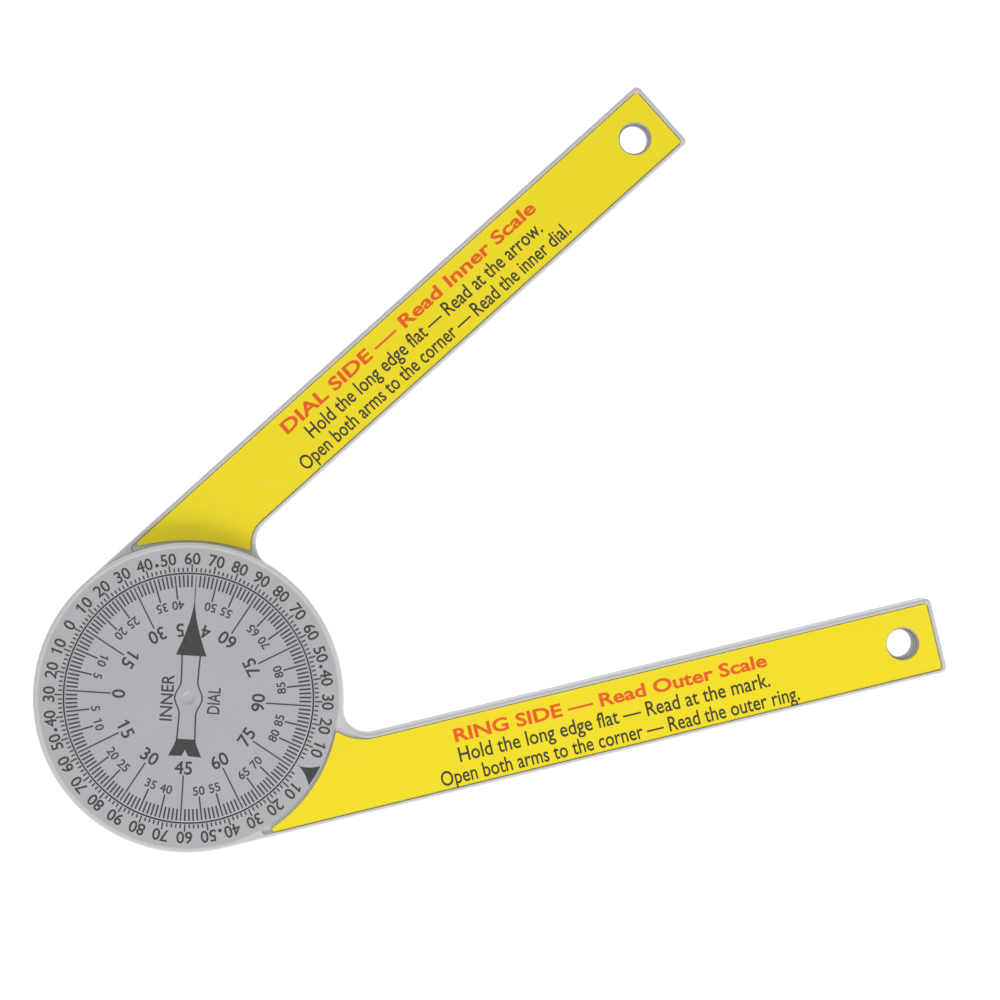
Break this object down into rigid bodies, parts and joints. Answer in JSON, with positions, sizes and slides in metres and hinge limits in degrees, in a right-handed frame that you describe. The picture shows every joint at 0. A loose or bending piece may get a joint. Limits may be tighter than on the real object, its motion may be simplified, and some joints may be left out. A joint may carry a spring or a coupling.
{
  "type": "mitre protractor",
  "caption": "Two-arm plastic angle finder: two straight arms joined at a round dial with an outer and an inner angle scale, used to copy a corner angle for mitre and single cuts.",
  "frame": {"origin": "on the pivot axis, at the back face of the hub's round cap", "axes": "+Z along the pivot axis out of the printed face; +X along the ring arm from the pivot to its tip; +Y towards the dial arm"},
  "size_m": [0.1841, 0.1318, 0.014],
  "materials": {
    "ring_arm_plastic": "light grey moulded plastic, fine satin texture",
    "dial_arm_plastic": "light grey moulded plastic, fine satin texture",
    "dial_plastic": "mid grey moulded plastic with dark printed scale",
    "label_yellow": "yellow printed plastic plate, low gloss",
    "slip_plastic": "white low-friction plastic",
    "plated_steel": "zinc-plated steel",
    "spring_steel": "oiled spring steel"
  },
  "bodies": {
    "ring_arm": {"ring_arm_shell": "ring_arm_plastic", "ring_arm_cover": "ring_arm_plastic", "ring_arm_label": "label_yellow", "ring_cover_screw_1": "plated_steel", "ring_cover_screw_2": "plated_steel", "ring_cover_screw_3": "plated_steel"},
    "dial_arm": {"dial_arm_shell": "dial_arm_plastic", "dial_arm_cover": "dial_arm_plastic", "dial_arm_label": "label_yellow", "inner_dial": "dial_plastic", "slip_ring": "slip_plastic", "flat_washer": "plated_steel", "wave_spring": "spring_steel", "pivot_screw": "plated_steel", "hub_cap": "dial_arm_plastic", "dial_cover_screw_1": "plated_steel", "dial_cover_screw_2": "plated_steel", "dial_cover_screw_3": "plated_steel", "dial_cover_screw_4": "plated_steel", "dial_cover_screw_5": "plated_steel"}
  },
  "joints": [
    {"name": "dial_arm_hinge", "type": "hinge", "parent": "ring_arm", "child": "dial_arm", "pos_m": [0, 0, 0], "axis": [0, 0, 1], "range_deg": [-39.9, 166.6]}
  ]
}
